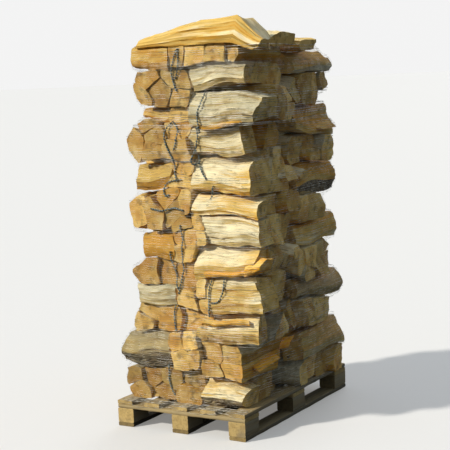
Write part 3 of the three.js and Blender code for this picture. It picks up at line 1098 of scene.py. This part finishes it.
net_dice = random.Random(3)
net_levels = list(np.arange(NET_LOW, NET_HIGH, NET_PITCH))
for band_low, band_high in NET_BANDS:
    net_levels += list(np.arange(band_low, band_high, NET_PITCH))
net_levels.sort()
rings = []
for level in net_levels:
    level += net_dice.uniform(-0.0025, 0.0025)
    ring = net_ring(level)
    sway = 0.0016 * np.sin(np.arange(STRAND_STEPS) * 0.31 + level * 9)
    jitter = np.array([net_dice.uniform(-0.0006, 0.0006) for _ in range(STRAND_STEPS)])
    rings.append(np.column_stack([ring, level + sway + jitter]))
chains = yarn_curve("net_chains", 0.0009)
for ring in rings:
    stretched = np.clip(NET_THINNEST + (ring[:, 0] + 0.2) * 2.2, NET_THINNEST, 1.0)
    gathered = net_dice.choice(NET_GATHERED)
    lumps = np.array([net_dice.uniform(0.6, 1.3) for _ in range(STRAND_STEPS)])
    add_thread(chains, ring, True, stretched * gathered * lumps)
threads = yarn_curve("net_threads", 0.0005)
for lower, upper in zip(rings, rings[1:]):
    for i in range(0, STRAND_STEPS, 2):
        middle = (upper[i] + upper[(i + 1) % STRAND_STEPS]) / 2
        add_thread(threads, np.array([lower[i], middle, lower[(i + 2) % STRAND_STEPS]]), False)
for strands in (chains, threads):
    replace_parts(knit(strands, NET_YARN), "net_wrap")

# ---------------------------------------------------------------- net foot
# The net was begun round the deck of the pallet. Its first turns lie slack in front of the wood, gathered on
# the deck boards, and a few hang over the boards' ends. It is the same pale yarn.
FOOT_YARN = yarn_finish("foot_yarn", "7C7565", "CCC7B8", 0.03)
FOOT_TURNS = 10
FOOT_STEPS = 70
FOOT_THICK = 0.0013
FOOT_BACK = 0.07  # how far behind the front edge the first turn lies
FOOT_SPREAD = 0.085  # how far in front of the first turn the last one lies

left_deck_low, left_deck_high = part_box("pallet_deck_board_1")
right_deck_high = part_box("pallet_deck_board_5")[1]
foot_curve = yarn_curve("net_foot", FOOT_THICK)
foot_lines = []
for turn in range(FOOT_TURNS):
    share = turn / (FOOT_TURNS - 1)
    start = left_deck_low.x + net_dice.uniform(0.0, 0.06)
    end = right_deck_high.x + net_dice.uniform(-0.02, 0.004)
    across = np.linspace(start, end, FOOT_STEPS)
    wander = 0.006 * np.sin(across * 19 + turn * 1.7) + 0.003 * np.sin(across * 53 + turn * 4.1)
    forward = left_deck_low.y + FOOT_BACK - FOOT_SPREAD * share + wander
    hang = np.clip(left_deck_low.y - forward, 0, 0.02)
    lift = np.array([net_dice.uniform(0.001, 0.004) for _ in range(FOOT_STEPS)])
    forward = np.maximum(forward, left_deck_low.y - 0.003)
    foot_line = np.stack([across, forward, left_deck_high.z + lift - hang * 1.4], axis=1)
    add_thread(foot_curve, foot_line, False, [net_dice.uniform(0.5, 1.4) for _ in range(FOOT_STEPS)])
    foot_lines.append(foot_line)
for near, far in zip(foot_lines, foot_lines[1:]):
    for i in range(0, FOOT_STEPS - 2, 2):
        add_thread(foot_curve, np.array([near[i], far[i + 1], near[i + 2]]), False, [0.35, 0.35, 0.35])
knit(foot_curve, FOOT_YARN)

# ---------------------------------------------------------------- chain ends
# Where the net was cut and gathered, its darker edge chains hang in loops and tails down the front. They
# are crocheted stitch by stitch from a blue green yarn, and the net holds them against the logs.
CHAIN_YARN = yarn_finish("chain_yarn", "2E3735", "7C8A86", 0.009)
CHAIN_THICK = 0.0105
STITCH = 0.015
CHAIN_CLEAR = 0.005
CHAIN_SAG = 0.03  # how far behind the net a chain may fall back over a gap
SMOOTH = 5  # how many points on each side a chain is evened out over

# Each chain by its points across from the pallet's left edge and up, in metres.
CHAIN_ENDS = [
    [(0.444, 2.02), (0.425, 1.985), (0.405, 1.93), (0.4, 1.89), (0.412, 1.85), (0.43, 1.80)],
    [(0.446, 2.02), (0.446, 1.96), (0.437, 1.91), (0.421, 1.862)],
    [(0.586, 1.794), (0.572, 1.734), (0.562, 1.673), (0.564, 1.602), (0.55, 1.58)],
    [(0.389, 1.646), (0.36, 1.62), (0.348, 1.585), (0.358, 1.53), (0.38, 1.48), (0.397, 1.44), (0.393, 1.386),
     (0.404, 1.33)],
    [(0.389, 1.646), (0.41, 1.62), (0.42, 1.58), (0.419, 1.537), (0.402, 1.495)],
    [(0.428, 1.345), (0.39, 1.34), (0.35, 1.33), (0.326, 1.3), (0.324, 1.27), (0.338, 1.256), (0.354, 1.268)],
    [(0.553, 1.612), (0.54, 1.58), (0.528, 1.54), (0.52, 1.49), (0.507, 1.433), (0.53, 1.425), (0.55, 1.44)],
    [(0.535, 1.47), (0.552, 1.407), (0.575, 1.375), (0.595, 1.35)],
    [(0.24, 1.19), (0.306, 1.18), (0.383, 1.195), (0.456, 1.185)],
    [(0.408, 1.103), (0.417, 1.04), (0.422, 0.97), (0.419, 0.87), (0.41, 0.80), (0.394, 0.737)],
    [(0.35, 0.964), (0.352, 0.92), (0.358, 0.879), (0.378, 0.82), (0.393, 0.76)],
    [(0.372, 0.682), (0.356, 0.65), (0.35, 0.61), (0.357, 0.535)],
    [(0.59, 0.827), (0.576, 0.78), (0.573, 0.72), (0.574, 0.625)],
    [(0.663, 0.83), (0.66, 0.79), (0.652, 0.75), (0.63, 0.712), (0.584, 0.7)],
    [(0.308, 0.36), (0.296, 0.32), (0.291, 0.268), (0.3, 0.22), (0.318, 0.172)],
    [(0.633, 1.315), (0.622, 1.28), (0.606, 1.243)],
]
all_rings = np.array(rings)


def net_front(across, level):
    """How far forward the net stands at a place on the front."""
    ring = all_rings[int(np.argmin(np.abs(all_rings[:, 0, 2] - level)))]
    turned = np.roll(ring, -1, axis=0)
    front = []
    for a, b in zip(ring, turned):
        if min(a[0], b[0]) <= across <= max(a[0], b[0]) and a[0] != b[0]:
            front.append(a[1] + (b[1] - a[1]) * (across - a[0]) / (b[0] - a[0]))
    return min(front) if front else float(ring[:, 1].min())


front_wood = [piece for piece in course_objects + top_objects if "rear" not in piece.name]


def wood_front(across, level):
    """How far forward the wood stands at a place on the front, or a little behind the net over a gap."""
    front = net_front(across, level) + CHAIN_SAG
    for piece in front_wood:
        for beside in (-CHAIN_THICK / 2, 0, CHAIN_THICK / 2):
            hit, place, _, _ = piece.ray_cast((across + beside, cad_low.y - 0.1, level), (0, 1, 0))
            if hit:
                front = min(front, place.y)
    return front


def through(points, gap):
    """Even steps along a smooth line through the points."""
    points = np.array(points, dtype=float)
    doubled = np.vstack([points[:1] * 2 - points[1:2], points, points[-1:] * 2 - points[-2:-1]])
    line = []
    for a, b, c, d in zip(doubled, doubled[1:], doubled[2:], doubled[3:]):
        for t in np.arange(0, 1, 0.05):
            line.append(0.5 * (2 * b + (c - a) * t + (2 * a - 5 * b + 4 * c - d) * t**2
                               + (3 * b - a - 3 * c + d) * t**3))
    line = np.array(line + [points[-1]])
    run = np.concatenate([[0], np.cumsum(np.hypot(*np.diff(line, axis=0).T))])
    steps = np.arange(0, run[-1], gap)
    return np.stack([np.interp(steps, run, line[:, k]) for k in (0, 1)], axis=1)


chain_curve = yarn_curve("chain_ends", CHAIN_THICK)
chain_curve.bevel_resolution = 1
for points in CHAIN_ENDS:
    line = through(points, STITCH / 4)
    across = line[:, 0] + pallet_corner.x
    front = np.array([wood_front(x, z) for x, z in zip(across, line[:, 1])])
    padded = np.pad(front, SMOOTH, mode="edge")
    front = np.min([padded[i : i + len(front)] for i in range(2 * SMOOTH + 1)], axis=0)
    share = np.ones(2 * SMOOTH + 1) / (2 * SMOOTH + 1)
    front = np.convolve(np.pad(front, SMOOTH, mode="edge"), share, mode="valid") - CHAIN_CLEAR
    stitch = np.arange(len(line)) * math.pi / 2
    wobble = 0.0018 * np.sin(stitch)
    path = np.stack([across + wobble, front, line[:, 1]], axis=1)
    add_thread(chain_curve, path, False, 0.7 + 0.45 * np.cos(stitch))
knit(chain_curve, CHAIN_YARN)

# ---------------------------------------------------------------- studio
# A plain pale floor, a warm lamp from the front left, a weak one from behind, a pale sky, and the camera.


def floor_finish():
    finish = Finish("floor", 0.9)
    seen = finish.node("ShaderNodeLightPath", {}, {}, "Is Camera Ray")
    glow = finish.mix(seen, paint("000000"), paint("7C7A76"))
    finish.join(finish.shader.inputs["Emission Color"], glow)
    finish.shader.inputs["Emission Strength"].default_value = 1.0
    return finish.done(finish.mix(seen, paint("24272C"), paint("C7C5C3")))


nothing_selected()
bpy.ops.mesh.primitive_plane_add(size=2000, location=(0, 0, -0.0005))
floor = bpy.context.object
floor.name = "floor"
floor.data.materials.append(floor_finish())


def sun_lamp(name, energy, colour, spread, toward):
    """A lamp so far off that its light is parallel. spread is in degrees, and toward points at the lamp."""
    data = bpy.data.lights.new(name, "SUN")
    data.energy = energy
    data.color = colour
    data.angle = math.radians(spread)
    lamp = bpy.data.objects.new(name, data)
    bpy.context.collection.objects.link(lamp)
    lamp.rotation_euler = Vector(toward).to_track_quat("Z", "Y").to_euler()


sun_lamp("sun", 4.3, (1.0, 0.965, 0.88), 4, (-0.50, -0.72, 0.56))
sun_lamp("back_lamp", 0.8, (1.0, 1.0, 1.0), 40, (-0.15, 0.85, 0.40))

world = bpy.data.worlds.new("studio")
bpy.context.scene.world = world
world.use_nodes = True
sky_tree = world.node_tree
sky_glow = sky_tree.nodes["Background"]
sky_glow.inputs["Color"].default_value = (0.70, 0.84, 1.0, 1)
sky_glow.inputs["Strength"].default_value = 0.44
sky_view = sky_tree.nodes.new("ShaderNodeBackground")
sky_view.inputs["Color"].default_value = (1, 1, 1, 1)
sky_view.inputs["Strength"].default_value = 0.9
sky_mix = sky_tree.nodes.new("ShaderNodeMixShader")
ray_kind = sky_tree.nodes.new("ShaderNodeLightPath")
sky_tree.links.new(ray_kind.outputs["Is Camera Ray"], sky_mix.inputs[0])
sky_tree.links.new(sky_glow.outputs[0], sky_mix.inputs[1])
sky_tree.links.new(sky_view.outputs[0], sky_mix.inputs[2])
sky_tree.links.new(sky_mix.outputs[0], sky_tree.nodes["World Output"].inputs["Surface"])
bpy.context.scene.view_settings.view_transform = "Standard"

camera_data = bpy.data.cameras.new("camera")
camera_data.sensor_width = 36
camera_data.lens = 96.25
camera = bpy.data.objects.new("camera", camera_data)
bpy.context.collection.objects.link(camera)
forward = Vector((-0.5130, 0.8498, -0.1209)).normalized()
right = Vector((0.8580, 0.5119, -0.0421)).normalized()
upward = right.cross(forward)
turn = Matrix((right, upward, -forward)).transposed().to_4x4()
camera.matrix_world = Matrix.Translation((3.446, -5.761, 1.858)) @ turn
bpy.context.scene.camera = camera
